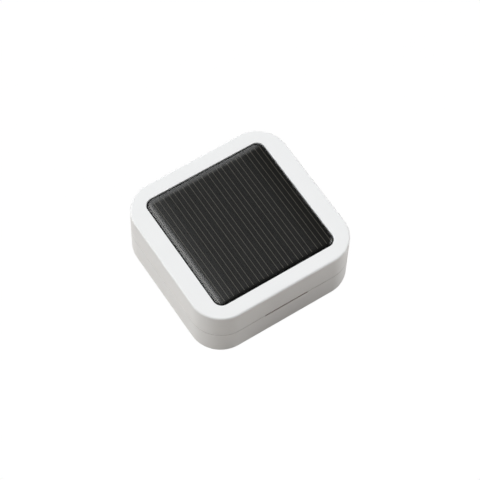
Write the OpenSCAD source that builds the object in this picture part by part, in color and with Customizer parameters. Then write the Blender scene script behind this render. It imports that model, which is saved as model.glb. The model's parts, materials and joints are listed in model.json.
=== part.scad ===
// Pocket weather station in a hinged case, with a solar window in the lid.
// The frame: +Z up, origin at the mouth of the tripod socket, on the plane the case rests on.
// The hinge runs along X at the back (+Y), and the finger slot is at the front (-Y).

/* [Case] */
// Width of the case, across the front
case_w = 72; // [70:0.5:92]
// Depth of the case, front to back, without the hinge barrel
case_d = 69.6; // [69:0.1:90]
// Height of the closed case, from the resting plane to the top face
case_h = 28; // [26:0.5:36]
// Radius of the upright corners
corner_r = 13.5; // [11:0.5:16]
// Thickness of the side walls
wall = 2.4; // [2.2:0.1:3]
// Thickness of the floor of the base
floor_t = 2; // [1.8:0.1:2.6]
// Open line between the lid and the base
seam_gap = 0.3; // [0.2:0.05:0.5]
// Width of the lip that stands on the base's rim, inside the lid
lip_w = 0.8; // [0.6:0.05:0.9]
// Height of the lip above the rim
lip_h = 0.8; // [0.5:0.05:1]
// Radius of the outer edge round the top face
top_edge_r = 0.8; // [0.4:0.1:1.6]
// Radius of the outer edge round the bottom
bottom_edge_r = 1.2; // [0.4:0.1:1.8]

/* [Finger slot] */
// Length of the slot
slot_len = 20.3; // [14:0.1:30]
// Height of the slot, across the seam
slot_h = 1.2; // [0.8:0.1:2]
// Depth of the slot into the wall
slot_depth = 0.9; // [0.4:0.1:1]

/* [Solar window] */
// Width of the opening in the top face
window_w = 56; // [46:0.5:58]
// Depth of the opening in the top face
window_d = 56.5; // [46:0.5:57]
// Radius of the opening's corners
window_r = 3.8; // [2:0.1:6]
// Thickness of the top face round the opening
face_t = 1.8; // [1.4:0.1:2.4]
// Open line between the opening and the solar panel
panel_gap = 0.25; // [0.15:0.05:0.4]
// Width of the ledge that the panel sits on
ledge_w = 1.5; // [1.2:0.1:2]
// Thickness of the ledge
ledge_t = 1.2; // [0.8:0.1:1.6]
// Thickness of the tape between the ledge and the panel
panel_tape_t = 0.3; // [0.2:0.05:0.5]
// Height of the panel's crown above the top face
crown_h = 0.4; // [0.1:0.1:1]
// Thickness of the clear resin at the panel's crown
resin_t = 1.3; // [0.8:0.1:2]
// Width of the resin's rounded edge
resin_edge = 3.4; // [1.5:0.1:5]

/* [Solar cells] */
// Number of cell strips side by side
strip_count = 6; // [4:1:6]
// Margin between the opening's sides and the outermost strips
cells_side_margin = 0.5; // [0.5:0.05:3]
// Margin between the opening's front or back and the strips' ends
cells_end_margin = 1.25; // [1:0.05:3]
// Open line between two strips
strip_gap = 0.2; // [0.1:0.05:0.4]
// Number of silver fingers on a strip
finger_count = 4; // [2:1:6]
// Distance from a strip's edge to the middle of its first finger
finger_inset = 1.29; // [0.4:0.01:2]
// Width of a finger
finger_w = 0.22; // [0.1:0.01:0.4]
// Thickness of the board that carries the strips
cell_board_t = 1.2; // [0.8:0.1:1.6]

/* [Hinge] */
// Thickness left in the wall behind a knuckle
hinge_wall = 0.4; // [0.3:0.05:0.8]
// Outer radius of the knuckles
knuckle_r = 2.1; // [1.8:0.05:2.6]
// Length of the whole barrel
hinge_len = 34; // [24:1:44]
// Length of the lid's knuckle, in the middle of the barrel
lid_knuckle_len = 16; // [8:1:24]
// Height of the webs that join the knuckles to the back faces
web_h = 5.6; // [5:0.1:7]
// Radius of the hinge pin
pin_r = 0.75; // [0.5:0.05:1]
// Angle at which the open lid meets the stop lugs
stop_angle = 115; // [95:1:130]
// How far up the lid's back face the stop lugs reach
stop_reach = 3.4; // [2.8:0.1:4]

/* [Instrument deck] */
// Thickness of the deck and of the lid's liner
plate_t = 1.8; // [1.6:0.1:2.4]
// Depth of the deck below the rim of the base
deck_drop = 0.55; // [0.4:0.05:1]
// Height of the space between the main board and the deck
part_space = 2.1; // [2.1:0.1:3]
// Width of the display's lens
lens_w = 42; // [30:1:46]
// Depth of the display's lens, front to back
lens_d = 27; // [18:1:28]
// Radius of the round keys
key_r = 4.4; // [3:0.1:5.4]
// Distance from one key to the next
key_pitch = 15; // [12:0.5:18]
// Travel of a key
key_travel = 0.4; // [0.2:0.05:0.4]

/* [Base fittings] */
// Width of the foot pad
pad_w = 58; // [52:1:62]
// Depth of the foot pad, front to back
pad_d = 55; // [52:1:60]
// Radius of the foot pad's corners
pad_r = 6; // [5.8:0.1:9]
// Thickness of the foot pad
pad_t = 1.2; // [1:0.1:1.4]
// How far the foot pad stands below the case
pad_proud = 0.4; // [0.2:0.1:0.6]
// Radius of the tripod socket's bore, the tapping size of a 1/4-20 thread
socket_r = 2.55; // [2.4:0.05:3.4]
// Depth of the tripod socket
socket_depth = 6; // [5:0.1:6.4]
// Outer radius of the socket's brass body
insert_r = 4.6; // [4.2:0.1:5.2]
// Thickness of the battery
battery_t = 4.5; // [3:0.1:5.4]
// Width of the battery
battery_w = 44; // [30:1:45]
// Depth of the battery, front to back
battery_d = 21; // [16:1:22]

/* [Hidden] */
$fn = 48;

// Clearances
loose = 0.3;        // between a plate and the walls round it
snug = 0.15;        // between a lens or a block and its recess
close_fit = 0.02;   // between a fixed pin or screw and its bore
running_fit = 0.05; // between the hinge pin and the lid's knuckle
knuckle_clear = 0.3;
knuckle_end_gap = 0.25;
lip_clear = 0.3;
touch_gap = 0.05;   // between pieces that meet when the lid closes
tiny = 0.04;        // thickness of printed silver
cut = 1;            // how far a cutting shape runs past a surface

// Heights in the base
floor_top = pad_proud + floor_t;
pad_recess_top = pad_t;
seam_z = case_h / 2;
rim_z = seam_z - seam_gap / 2;
lip_top = rim_z + lip_h;
deck_top = rim_z - deck_drop;
deck_z = deck_top - plate_t;
board_t = 1.2;
board_top = deck_z - part_space;
board_z = board_top - board_t;

// Heights in the lid
lid_rim_z = seam_z + seam_gap / 2;
face_z = case_h - face_t;
crown_z = case_h + crown_h;
cell_board_top = crown_z - resin_t;
cell_board_z = cell_board_top - cell_board_t;
ledge_top = cell_board_z - panel_tape_t;
ledge_z = ledge_top - ledge_t;
strip_t = 0.2;
strip_top = cell_board_top + strip_t;
liner_lift = 0.85;
liner_z = lid_rim_z + liner_lift;
liner_top = liner_z + plate_t;

// The lid's skirt, which hangs outside the base's lip
skirt_t = wall - lip_w - lip_clear;
rebate_top = lip_top + lip_clear;

// Plan sizes
inner_w = case_w - 2 * wall;
inner_d = case_d - 2 * wall;
inner_r = corner_r - wall;
plate_w = inner_w - 2 * loose;
plate_d = inner_d - 2 * loose;
plate_r = inner_r - loose;
panel_w = window_w - 2 * panel_gap;
panel_d = window_d - 2 * panel_gap;
panel_r = window_r - panel_gap;
cells_w = window_w - 2 * cells_side_margin;
strip_pitch = (cells_w + strip_gap) / strip_count;
strip_w = strip_pitch - strip_gap;
strip_len = window_d - 2 * cells_end_margin;
cells_r = max(panel_r - 1, 0.2);

// Hinge, with its axis just far enough behind the back face to leave that wall
relief_r = knuckle_r + knuckle_clear;
hinge_out = relief_r + hinge_wall - wall;
hinge_y = case_d / 2 + hinge_out;
lid_knuckle_end = lid_knuckle_len / 2;
base_knuckle_start = lid_knuckle_end + knuckle_end_gap;

// Screws
screw_r = 0.93;
screw_bore_r = screw_r + close_fit;
screw_hole_r = 1.2;
screw_head_r = 1.9;
screw_head_h = 1.1;
head_clear = 0.2;

// Deck posts, with their screws hidden under the foot pad
post_r = 2.9;
post_inset = 3.2;
post_x = pad_w / 2 - post_inset;
post_y = pad_d / 2 - post_inset - 0.8;
floor_boss_r = post_r + 0.5;
floor_boss_h = 1.6;
floor_boss_top = floor_top + floor_boss_h;
head_seat_z = pad_recess_top + screw_head_h + head_clear;
post_bore_depth = min(6.5, deck_z - floor_boss_top - 0.8);

// Stand-offs for the main board
standoff_r = 2.2;
standoff_x = post_x;
standoff_y = 9;
board_screw_len = 4.5;

// Liner posts, moulded on the side walls of the lid
liner_post_r = 2.1;
liner_post_x = inner_w / 2 - liner_post_r;
liner_post_y = inner_d / 2 - inner_r - 3;
liner_post_top = liner_top + 6.4;
liner_bore_depth = 5.5;
head_recess = 1.2;

// Lid seal, a ring under the liner that closes on the deck
seal_inset = 0.6;
seal_w = 1.4;

// Magnets
magnet_r = 2.5;
magnet_t = 1.4;
magnet_x = 9;
magnet_y = -(inner_d / 2 - seal_inset - seal_w - 0.6 - magnet_r);

// Charge contacts, four pins on the deck and four pads on the liner
contact_count = 4;
contact_pitch = 3;
contact_edge = 2.5; // between the seal and the contacts
contact_block_w = contact_count * contact_pitch + 1.6;
contact_block_d = 4.2;
contact_y = inner_d / 2 - seal_inset - seal_w - contact_edge - contact_block_d / 2;
contact_r = 0.8;
pin_proud = 0.6;
pin_tip_z = deck_top + pin_proud;
pad_face_z = pin_tip_z + touch_gap;
pin_flange_t = 0.4;

// Display
lens_t = 1;
lens_r = 2;
lens_ledge = 2;
lens_edge = 2.5; // between the contacts and the lens
lens_y = contact_y - contact_block_d / 2 - lens_edge - lens_d / 2;
display_t = 1.7;
display_grow = 2;

// Keys
key_edge = 1.9; // between the magnets and the keys
key_gap = 0.2;
key_proud = 0.6;
key_flange_w = 0.8;
key_x = [-key_pitch, 0, key_pitch];
key_y = magnet_y + magnet_r + key_edge + key_r + key_flange_w;
key_flange_t = 0.6;
key_flange_top = deck_z - 0.15;
key_flange_z = key_flange_top - key_flange_t;
plunger_r = 1.15;
switch_w = 5.2;
switch_h = key_flange_z - board_top - key_travel - touch_gap;
switch_floor = 0.1;
plunger_z = board_top + switch_floor + key_travel + touch_gap;

// Light pipe
pipe_r = 0.9;
pipe_y = (key_y + key_r + lens_y - lens_d / 2) / 2;
led_h = 0.6;

// Vents and the sensor behind them
vent_count = 5;
vent_w = 1.2;
vent_h = 5;
vent_pitch = 2.8;
vent_y = -2;
vent_z = floor_top + 4.6;
membrane_w = vent_count * vent_pitch + 1.5;
membrane_h = vent_h + 1.6;
membrane_t = 0.3;
sensor_w = 2.5;
sensor_x = inner_w / 2 - 5.5;

// Tripod insert
insert_flange_r = insert_r + 1.9;
insert_flange_t = 1.5;
insert_top = socket_depth + 1.4;
mouth_chamfer = 0.4;

// Battery
battery_tape_t = 0.3;
battery_z = floor_top + battery_tape_t;
battery_y = -(insert_flange_r + 0.6 + battery_d / 2);
lead_r = 0.45;
battery_socket_h = 2.6;
battery_socket_y = 12;

// Places its children at the four corners of a rectangle.
module four_corners(x, y) {
    for (sx = [-1, 1], sy = [-1, 1]) {
        translate([sx * x, sy * y, 0]) children();
    }
}

// A quarter of a disc, in the first quadrant.
module quarter_disc(r, h) {
    rotate_extrude(angle = 90) square([r, h]);
}

// A flat plate with rounded upright corners, standing on z = 0.
module rounded_plate(w, d, r, h) {
    translate([-(w / 2 - r), -d / 2, 0]) cube([w - 2 * r, d, h]);
    for (side = [0, 1]) {
        mirror([side, 0, 0]) {
            translate([w / 2 - r, -(d / 2 - r), 0]) cube([r, d - 2 * r, h]);
            translate([w / 2 - r, d / 2 - r, 0]) quarter_disc(r, h);
            translate([w / 2 - r, -(d / 2 - r), 0]) rotate([0, 0, -90]) quarter_disc(r, h);
        }
    }
}

// Sweeps a 2D profile round a rounded rectangle. The profile's x is 0 on the outline and
// negative inside it, and its y is the height.
module rim_sweep(w, d, r) {
    for (k = [0:3]) {
        across = k % 2 == 0 ? w : d;
        along = k % 2 == 0 ? d : w;
        rotate([0, 0, 90 * k]) {
            translate([across / 2, 0, 0]) rotate([90, 0, 0])
                linear_extrude(along - 2 * r, center = true) children();
            translate([across / 2 - r, along / 2 - r, 0]) rotate_extrude(angle = 90)
                translate([r, 0]) children();
        }
    }
}

// Points of a quarter arc about [x, y], from angle a to a + 90.
function arc(x, y, r, a, steps = 6) =
    [for (i = [0:steps]) [x + r * cos(a + 90 * i / steps), y + r * sin(a + 90 * i / steps)]];

// A rectangular ring on z = 0, with rounded corners.
module ring(w, d, r, width, h) {
    rim_sweep(w, d, r) translate([-width, 0]) square([width, h]);
}

// Where a point at height z on the lid's back face stands when the lid meets its stop lugs.
function stopped(z) = [
    z * sin(stop_angle) - hinge_out * cos(stop_angle),
    z * cos(stop_angle) + hinge_out * sin(stop_angle)
];

// The barrel of a knuckle and the web that joins it to a back face. The web's outline is
// drawn from the hinge axis, and it ends where the web meets the back face.
module knuckle(x0, x1, outline) {
    root = outline[len(outline) - 1].y;
    translate([x0, hinge_y, seam_z]) {
        rotate([0, 90, 0]) cylinder(r = knuckle_r, h = x1 - x0);
        rotate([90, 0, 90]) linear_extrude(x1 - x0) polygon(concat(
            [[-hinge_out, sign(root) * seam_gap / 2], [0, 0]], outline,
            [[-hinge_out - skirt_t / 2, root], [-hinge_out - skirt_t / 2, sign(root) * seam_gap / 2]]
        ));
    }
}

// The lid's knuckle has a web that lies on a tangent to the barrel.
module lid_knuckle() {
    tangent = atan2(web_h, -hinge_out) - acos(knuckle_r / norm([hinge_out, web_h]));
    knuckle(-lid_knuckle_end, lid_knuckle_end, [
        0.94 * knuckle_r * [cos(tangent), sin(tangent)],
        [-hinge_out, web_h]
    ]);
}

// The base's knuckles have webs with a lug, whose upper face stops the open lid.
module base_knuckles() {
    outline = [stopped(0.94 * knuckle_r), stopped(stop_reach), [-hinge_out, -web_h]];
    knuckle(-hinge_len / 2, -base_knuckle_start, outline);
    knuckle(base_knuckle_start, hinge_len / 2, outline);
}

// The room that the other half's knuckle turns in.
module knuckle_relief(x0, x1) {
    translate([x0 - knuckle_end_gap, hinge_y, seam_z]) rotate([0, 90, 0])
        cylinder(r = relief_r, h = x1 - x0 + 2 * knuckle_end_gap);
}

module pin_bore(clearance) {
    translate([-hinge_len / 2 - cut, hinge_y, seam_z]) rotate([0, 90, 0])
        cylinder(r = pin_r + clearance, h = hinge_len + 2 * cut);
}

// The slot is cut in the rims of both halves, centred on the seam.
module finger_slot() {
    translate([-slot_len / 2, -case_d / 2 - cut, seam_z - slot_h / 2])
        cube([slot_len, slot_depth + cut, slot_h]);
}

module base_shell() {
    wall_profile = concat(
        arc(-bottom_edge_r, pad_proud + bottom_edge_r, bottom_edge_r, -90),
        [[0, rim_z], [lip_w - wall, rim_z], [lip_w - wall, lip_top], [-wall, lip_top],
         [-wall, floor_top], [-wall - 1, floor_top], [-wall - 1, pad_proud]]
    );
    color("whitesmoke") difference() {
        union() {
            rim_sweep(case_w, case_d, corner_r) polygon(wall_profile);
            translate([0, 0, pad_proud]) rounded_plate(inner_w, inner_d, inner_r, floor_t);
            four_corners(post_x, post_y) translate([0, 0, floor_top - 0.5])
                cylinder(r = floor_boss_r, h = floor_boss_h + 0.5);
            four_corners(standoff_x, standoff_y) translate([0, 0, floor_top - 0.5])
                cylinder(r = standoff_r, h = board_z - floor_top + 0.5);
            base_knuckles();
        }
        translate([0, 0, -cut])
            rounded_plate(pad_w + 2 * snug, pad_d + 2 * snug, pad_r + snug, pad_recess_top + cut);
        translate([0, 0, -cut]) cylinder(r = insert_r + close_fit, h = floor_top + 2 * cut);
        four_corners(post_x, post_y) {
            translate([0, 0, -cut]) cylinder(r = screw_hole_r, h = floor_boss_top + 2 * cut);
            translate([0, 0, -cut]) cylinder(r = screw_head_r + head_clear, h = head_seat_z + cut);
        }
        four_corners(standoff_x, standoff_y)
            translate([0, 0, board_z - board_screw_len + board_t])
                cylinder(r = screw_bore_r, h = board_screw_len);
        knuckle_relief(-lid_knuckle_end, lid_knuckle_end);
        pin_bore(close_fit);
        finger_slot();
        for (i = [0:vent_count - 1])
            translate([inner_w / 2 - cut, vent_y + (i - (vent_count - 1) / 2) * vent_pitch - vent_w / 2,
                       vent_z - vent_h / 2])
                cube([wall + 2 * cut, vent_w, vent_h]);
    }
}

module foot_pad() {
    color("dimgray") difference() {
        rounded_plate(pad_w, pad_d, pad_r, pad_t);
        translate([0, 0, -cut]) cylinder(r = insert_r + loose, h = pad_t + 2 * cut);
    }
}

module tripod_insert() {
    color("goldenrod") difference() {
        union() {
            cylinder(r = insert_r, h = insert_top);
            translate([0, 0, floor_top]) cylinder(r = insert_flange_r, h = insert_flange_t);
        }
        translate([0, 0, -cut]) cylinder(r = socket_r, h = socket_depth + cut);
        translate([0, 0, -mouth_chamfer])
            cylinder(r1 = socket_r + 2 * mouth_chamfer, r2 = socket_r, h = 2 * mouth_chamfer);
    }
}

module hinge_pin() {
    color("silver") translate([-hinge_len / 2, hinge_y, seam_z]) rotate([0, 90, 0])
        cylinder(r = pin_r, h = hinge_len);
}

module deck() {
    color("lightgray") difference() {
        union() {
            translate([0, 0, deck_z]) rounded_plate(plate_w, plate_d, plate_r, plate_t);
            four_corners(post_x, post_y) translate([0, 0, floor_boss_top])
                cylinder(r = post_r, h = deck_z - floor_boss_top + 0.5);
        }
        four_corners(post_x, post_y) translate([0, 0, floor_boss_top - cut])
            cylinder(r = screw_bore_r, h = post_bore_depth + cut);
        translate([0, lens_y, deck_top - lens_t])
            rounded_plate(lens_w + 2 * snug, lens_d + 2 * snug, lens_r + snug, lens_t + cut);
        translate([-lens_w / 2 + lens_ledge, lens_y - lens_d / 2 + lens_ledge, deck_z - cut])
            cube([lens_w - 2 * lens_ledge, lens_d - 2 * lens_ledge, plate_t + 2 * cut]);
        for (x = key_x)
            translate([x, key_y, deck_z - cut]) cylinder(r = key_r + key_gap, h = plate_t + 2 * cut);
        translate([0, pipe_y, deck_z - cut])
            cylinder(r = pipe_r + close_fit, h = plate_t + 2 * cut);
        for (s = [-1, 1])
            translate([s * magnet_x, magnet_y, deck_z - cut])
                cylinder(r = magnet_r + touch_gap, h = magnet_t + cut);
        translate([-contact_block_w / 2 - snug, contact_y - contact_block_d / 2 - snug, deck_z - cut])
            cube([contact_block_w + 2 * snug, contact_block_d + 2 * snug, plate_t + 2 * cut]);
    }
}

// A pan-head screw that points up, with its head below z = 0.
module screw(length) {
    cylinder(r = screw_r, h = length);
    difference() {
        translate([0, 0, -screw_head_h]) cylinder(r = screw_head_r, h = screw_head_h);
        for (a = [0, 90])
            rotate([0, 0, a]) translate([-1.1, -0.25, -screw_head_h - cut])
                cube([2.2, 0.5, cut + 0.6]);
    }
}

module deck_screws() {
    color("silver") four_corners(post_x, post_y) translate([0, 0, head_seat_z])
        screw(floor_boss_top - head_seat_z + post_bore_depth - 0.5);
}

module board_screws() {
    color("silver") four_corners(standoff_x, standoff_y) translate([0, 0, board_top])
        mirror([0, 0, 1]) screw(board_screw_len - 0.4);
}

module magnets(z) {
    color("silver") for (s = [-1, 1])
        translate([s * magnet_x, magnet_y, z]) cylinder(r = magnet_r, h = magnet_t - touch_gap);
}

module deck_magnets() {
    magnets(deck_z);
}

module display_lens() {
    color("black") translate([0, lens_y, deck_top - lens_t])
        rounded_plate(lens_w, lens_d, lens_r, lens_t);
}

module display_module() {
    color("darkseagreen") translate([-(lens_w - display_grow) / 2, lens_y - (lens_d + display_grow) / 2, board_top])
        cube([lens_w - display_grow, lens_d + display_grow, display_t]);
}

module light_pipe() {
    color("white") translate([0, pipe_y, board_top + led_h + 0.2])
        cylinder(r = pipe_r, h = deck_top - board_top - led_h - 0.2);
}

module status_led() {
    color("lightyellow") translate([-0.8, pipe_y - 0.4, board_top]) cube([1.6, 0.8, led_h]);
}

module main_board() {
    board_edge = 1.2;
    board_w = inner_w - 2 * board_edge;
    board_d = inner_d - 2 * board_edge;
    color("darkgreen") difference() {
        translate([0, 0, board_z]) rounded_plate(board_w, board_d, inner_r - board_edge, board_t);
        four_corners(post_x, post_y) translate([0, 0, board_z - cut])
            cylinder(r = post_r + loose, h = board_t + 2 * cut);
        four_corners(standoff_x, standoff_y) translate([0, 0, board_z - cut])
            cylinder(r = screw_hole_r, h = board_t + 2 * cut);
    }
}

// A chip of w by d by h on the top of the main board.
module chip(x, y, w, d, h) {
    translate([x - w / 2, y - d / 2, board_top]) cube([w, d, h]);
}

module controller_chip() {
    color("black") chip(-26, 1, 6, 6, 0.9);
}

module memory_chip() {
    color("black") chip(-26, 15.5, 4, 5, 0.8);
}

module radio_module() {
    color("silver") chip(14, contact_y + 1.2, 9, 6, 1.6);
}

module chip_antenna() {
    color("white") chip(21, contact_y + 2.6, 4, 2, 1);
}

module pressure_sensor() {
    color("silver") difference() {
        chip(25, 15.5, 3, 3, 1);
        translate([25.6, 16.1, board_top + 0.5]) cylinder(r = 0.3, h = cut);
    }
}

module humidity_sensor() {
    color("black") chip(sensor_x, vent_y, sensor_w, sensor_w, 0.9);
}

// A foam frame that keeps the vent's air round the humidity sensor.
module sensor_gasket() {
    color("dimgray") translate([sensor_x, vent_y, board_top])
        ring(sensor_w + 3.4, sensor_w + 3.4, 1.4, 1.3, part_space);
}

module vent_membrane() {
    color("white") translate([inner_w / 2 - membrane_t, vent_y - membrane_w / 2, vent_z - membrane_h / 2])
        cube([membrane_t, membrane_w, membrane_h]);
}

module battery() {
    color("silver") translate([0, battery_y, battery_z])
        rounded_plate(battery_w, battery_d, 1.8, battery_t);
}

module battery_tape() {
    color("white") translate([-battery_w / 2 + 4, battery_y - battery_d / 2 + 3, floor_top])
        cube([battery_w - 8, battery_d - 6, battery_tape_t]);
}

module battery_socket() {
    color("ivory") translate([-3, battery_socket_y - 2, board_z - battery_socket_h])
        cube([6, 4, battery_socket_h]);
}

// Two leads from the battery's back edge to the socket under the main board, past the insert.
module battery_leads() {
    start_y = battery_y + battery_d / 2;
    lead_z = board_z - 0.55;
    for (side = [0, 1]) {
        x = 9.2 + side * 1.1;
        end_y = battery_socket_y - 0.6 + side * 1.2;
        color(side == 0 ? "red" : "black") {
            translate([x, start_y, battery_z + battery_t / 2]) rotate([-90, 0, 0])
                cylinder(r = lead_r, h = 3);
            translate([x, start_y + 3, battery_z + battery_t / 2]) sphere(r = lead_r);
            translate([x, start_y + 3, battery_z + battery_t / 2])
                cylinder(r = lead_r, h = lead_z - battery_z - battery_t / 2);
            translate([x, start_y + 3, lead_z]) sphere(r = lead_r);
            translate([x, start_y + 3, lead_z]) rotate([-90, 0, 0])
                cylinder(r = lead_r, h = end_y - start_y - 3);
            translate([x, end_y, lead_z]) sphere(r = lead_r);
            translate([3, end_y, lead_z]) rotate([0, 90, 0]) cylinder(r = lead_r, h = x - 3);
        }
    }
}

module switch_bodies() {
    color("black") for (x = key_x) {
        difference() {
            chip(x, key_y, switch_w, switch_w, switch_h);
            translate([x, key_y, board_top + switch_floor])
                cylinder(r = plunger_r + snug, h = switch_h + cut);
        }
    }
}

// A round key cap with a shallow dish, held under the deck by its flange.
module key_cap(x, shade) {
    dish_r = 22;
    dish_depth = 0.25;
    top_z = deck_top + key_proud;
    color(shade) translate([x, key_y, 0]) difference() {
        union() {
            translate([0, 0, key_flange_z]) cylinder(r = key_r, h = top_z - key_flange_z);
            translate([0, 0, key_flange_z]) cylinder(r = key_r + key_flange_w, h = key_flange_t);
        }
        translate([0, 0, top_z + dish_r - dish_depth]) sphere(r = dish_r, $fn = 96);
    }
}

module plunger(x) {
    color("ivory") translate([x, key_y, plunger_z]) cylinder(r = plunger_r, h = key_flange_z - plunger_z);
}

module power_key() {
    key_cap(key_x[0], "orange");
}

module power_plunger() {
    plunger(key_x[0]);
}

module mode_key() {
    key_cap(key_x[1], "gray");
}

module mode_plunger() {
    plunger(key_x[1]);
}

module log_key() {
    key_cap(key_x[2], "gray");
}

module log_plunger() {
    plunger(key_x[2]);
}

// Places its children at the four charge contacts.
module each_contact() {
    for (i = [0:contact_count - 1])
        translate([(i - (contact_count - 1) / 2) * contact_pitch, contact_y, 0]) children();
}

module pin_block() {
    color("black") difference() {
        translate([-contact_block_w / 2, contact_y - contact_block_d / 2, board_top])
            cube([contact_block_w, contact_block_d, deck_top - board_top]);
        each_contact() {
            translate([0, 0, board_top + 0.3])
                cylinder(r = contact_r + touch_gap, h = deck_top - board_top);
            translate([0, 0, board_top + 0.3])
                cylinder(r = contact_r + 0.35 + touch_gap, h = deck_z - board_top - 0.3);
        }
    }
}

module charge_pins() {
    flange_pin_top = deck_z - touch_gap;
    color("gold") each_contact() {
        translate([0, 0, flange_pin_top - pin_flange_t - 0.5])
            cylinder(r = contact_r, h = pin_tip_z - 0.3 - flange_pin_top + pin_flange_t + 0.5);
        translate([0, 0, flange_pin_top - pin_flange_t])
            cylinder(r = contact_r + 0.35, h = pin_flange_t);
        translate([0, 0, pin_tip_z - 0.3]) cylinder(r1 = contact_r, r2 = contact_r - 0.3, h = 0.3);
    }
}

module lid_shell() {
    ledge_rim = 1.6;
    ledge_profile = [[-ledge_w, ledge_z], [ledge_rim, ledge_z], [ledge_rim, face_z + 0.2],
                     [0, face_z + 0.2], [0, ledge_top], [-ledge_w, ledge_top]];
    lid_profile = concat(
        [[-wall - 1, face_z], [-wall, face_z], [-wall, rebate_top], [-skirt_t, rebate_top],
         [-skirt_t, lid_rim_z], [0, lid_rim_z]],
        arc(-top_edge_r, case_h - top_edge_r, top_edge_r, 0),
        [[-wall - 1, case_h]]
    );
    color("whitesmoke") difference() {
        union() {
            rim_sweep(case_w, case_d, corner_r) polygon(lid_profile);
            difference() {
                translate([0, 0, face_z]) rounded_plate(inner_w, inner_d, inner_r, face_t);
                translate([0, 0, face_z - cut]) rounded_plate(window_w, window_d, window_r, face_t + 2 * cut);
            }
            rim_sweep(window_w, window_d, window_r) polygon(ledge_profile);
            for (sx = [-1, 1], sy = [-1, 1]) {
                translate([sx * liner_post_x, sy * liner_post_y, liner_top])
                    cylinder(r = liner_post_r, h = liner_post_top - liner_top);
                translate([sx > 0 ? liner_post_x : -inner_w / 2 - 0.5,
                           sy * liner_post_y - liner_post_r * 0.7, liner_top])
                    cube([liner_post_r + 0.5, liner_post_r * 1.4, liner_post_top - liner_top]);
            }
            lid_knuckle();
        }
        four_corners(liner_post_x, liner_post_y) translate([0, 0, liner_top - cut])
            cylinder(r = screw_bore_r, h = liner_bore_depth + cut);
        knuckle_relief(-hinge_len / 2, -base_knuckle_start);
        knuckle_relief(base_knuckle_start, hinge_len / 2);
        pin_bore(running_fit);
        finger_slot();
    }
}

// The clear resin cast over the cells. Its edge is rounded down to the board, and a shallow
// pocket under it holds the cells.
module panel_resin() {
    side_h = 0.15;
    pocket_clear = 0.05;
    edge = min(resin_edge, panel_r - 0.1);
    drop = resin_t - side_h;
    steps = 10;
    rim_profile = concat(
        [[-edge, cell_board_top], [0, cell_board_top]],
        [for (i = [0:steps]) [-edge * (1 - cos(90 * i / steps)),
                              crown_z - drop * (1 - sin(90 * i / steps))]]
    );
    color("black") difference() {
        union() {
            rim_sweep(panel_w, panel_d, panel_r) polygon(rim_profile);
            translate([0, 0, cell_board_top])
                rounded_plate(panel_w - 2 * edge, panel_d - 2 * edge, panel_r - edge, resin_t);
        }
        translate([0, 0, cell_board_top - cut])
            rounded_plate(cells_w + 2 * pocket_clear, strip_len + 2 * pocket_clear,
                          cells_r + pocket_clear, cut + strip_t + tiny + pocket_clear);
    }
}

module panel_tape() {
    color("black") translate([0, 0, ledge_top])
        ring(panel_w, panel_d, panel_r, ledge_w - panel_gap - 0.1, panel_tape_t);
}

// The outermost strips are clipped at the corners, where the panel is rounded.
module cell_strips() {
    color("midnightblue") intersection() {
        for (i = [0:strip_count - 1])
            translate([-cells_w / 2 + i * strip_pitch, -strip_len / 2, cell_board_top])
                cube([strip_w, strip_len, strip_t]);
        translate([0, 0, cell_board_top]) rounded_plate(cells_w, strip_len, cells_r, strip_t);
    }
}

module cell_fingers() {
    finger_end = 0.6;
    finger_pitch = (strip_w - 2 * finger_inset) / (finger_count - 1);
    color("silver") for (i = [0:strip_count - 1], j = [0:finger_count - 1])
        translate([-cells_w / 2 + i * strip_pitch + finger_inset + j * finger_pitch - finger_w / 2,
                   -strip_len / 2 + finger_end, strip_top])
            cube([finger_w, strip_len - 2 * finger_end, tiny]);
}

module cell_board() {
    color("black") translate([0, 0, cell_board_z])
        rounded_plate(panel_w, panel_d, panel_r, cell_board_t);
}

// A chip, a coil and a capacitor of the charger, on the underside of the cell board.
module charger_parts() {
    parts = [[-12, 10, 4, 4, 0.9], [-4, 10, 5, 5, 2.6], [4, 10, 3, 2, 1.4], [10, 10, 3, 2, 1.4]];
    color("black") for (p = parts)
        translate([p[0] - p[2] / 2, p[1] - p[3] / 2, cell_board_z - p[4]]) cube([p[2], p[3], p[4]]);
}

module liner() {
    color("lightgray") difference() {
        translate([0, 0, liner_z]) rounded_plate(plate_w, plate_d, plate_r, plate_t);
        four_corners(liner_post_x, liner_post_y) {
            translate([0, 0, liner_z - cut]) cylinder(r = screw_hole_r, h = plate_t + 2 * cut);
            translate([0, 0, liner_z - cut]) cylinder(r = screw_head_r + head_clear, h = head_recess + cut);
        }
        for (s = [-1, 1])
            translate([s * magnet_x, magnet_y, liner_top - magnet_t])
                cylinder(r = magnet_r + touch_gap, h = magnet_t + cut);
        translate([-contact_block_w / 2 + 1, contact_y - 1, liner_z - cut])
            cube([contact_block_w - 2, 2, plate_t + 2 * cut]);
    }
}

module liner_screws() {
    color("silver") four_corners(liner_post_x, liner_post_y) translate([0, 0, liner_z + head_recess])
        screw(plate_t - head_recess + liner_bore_depth - 0.4);
}

module lid_magnets() {
    magnets(liner_top - magnet_t + touch_gap);
}

module lid_seal() {
    color("dimgray") translate([0, 0, deck_top + touch_gap])
        ring(inner_w - 2 * seal_inset, inner_d - 2 * seal_inset, inner_r - seal_inset, seal_w,
             liner_z - deck_top - touch_gap);
}

module pad_block() {
    color("black") translate([-contact_block_w / 2, contact_y - contact_block_d / 2, pad_face_z + 0.15])
        cube([contact_block_w, contact_block_d, liner_z - pad_face_z - 0.15]);
}

module charge_pads() {
    color("gold") each_contact() translate([0, 0, pad_face_z]) cylinder(r = contact_r + 0.2, h = 0.15);
}

// Wires from the pads up to the cell board.
module lid_leads() {
    color("red") each_contact() translate([0, 0, liner_z])
        cylinder(r = lead_r, h = cell_board_z - liner_z);
}

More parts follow.
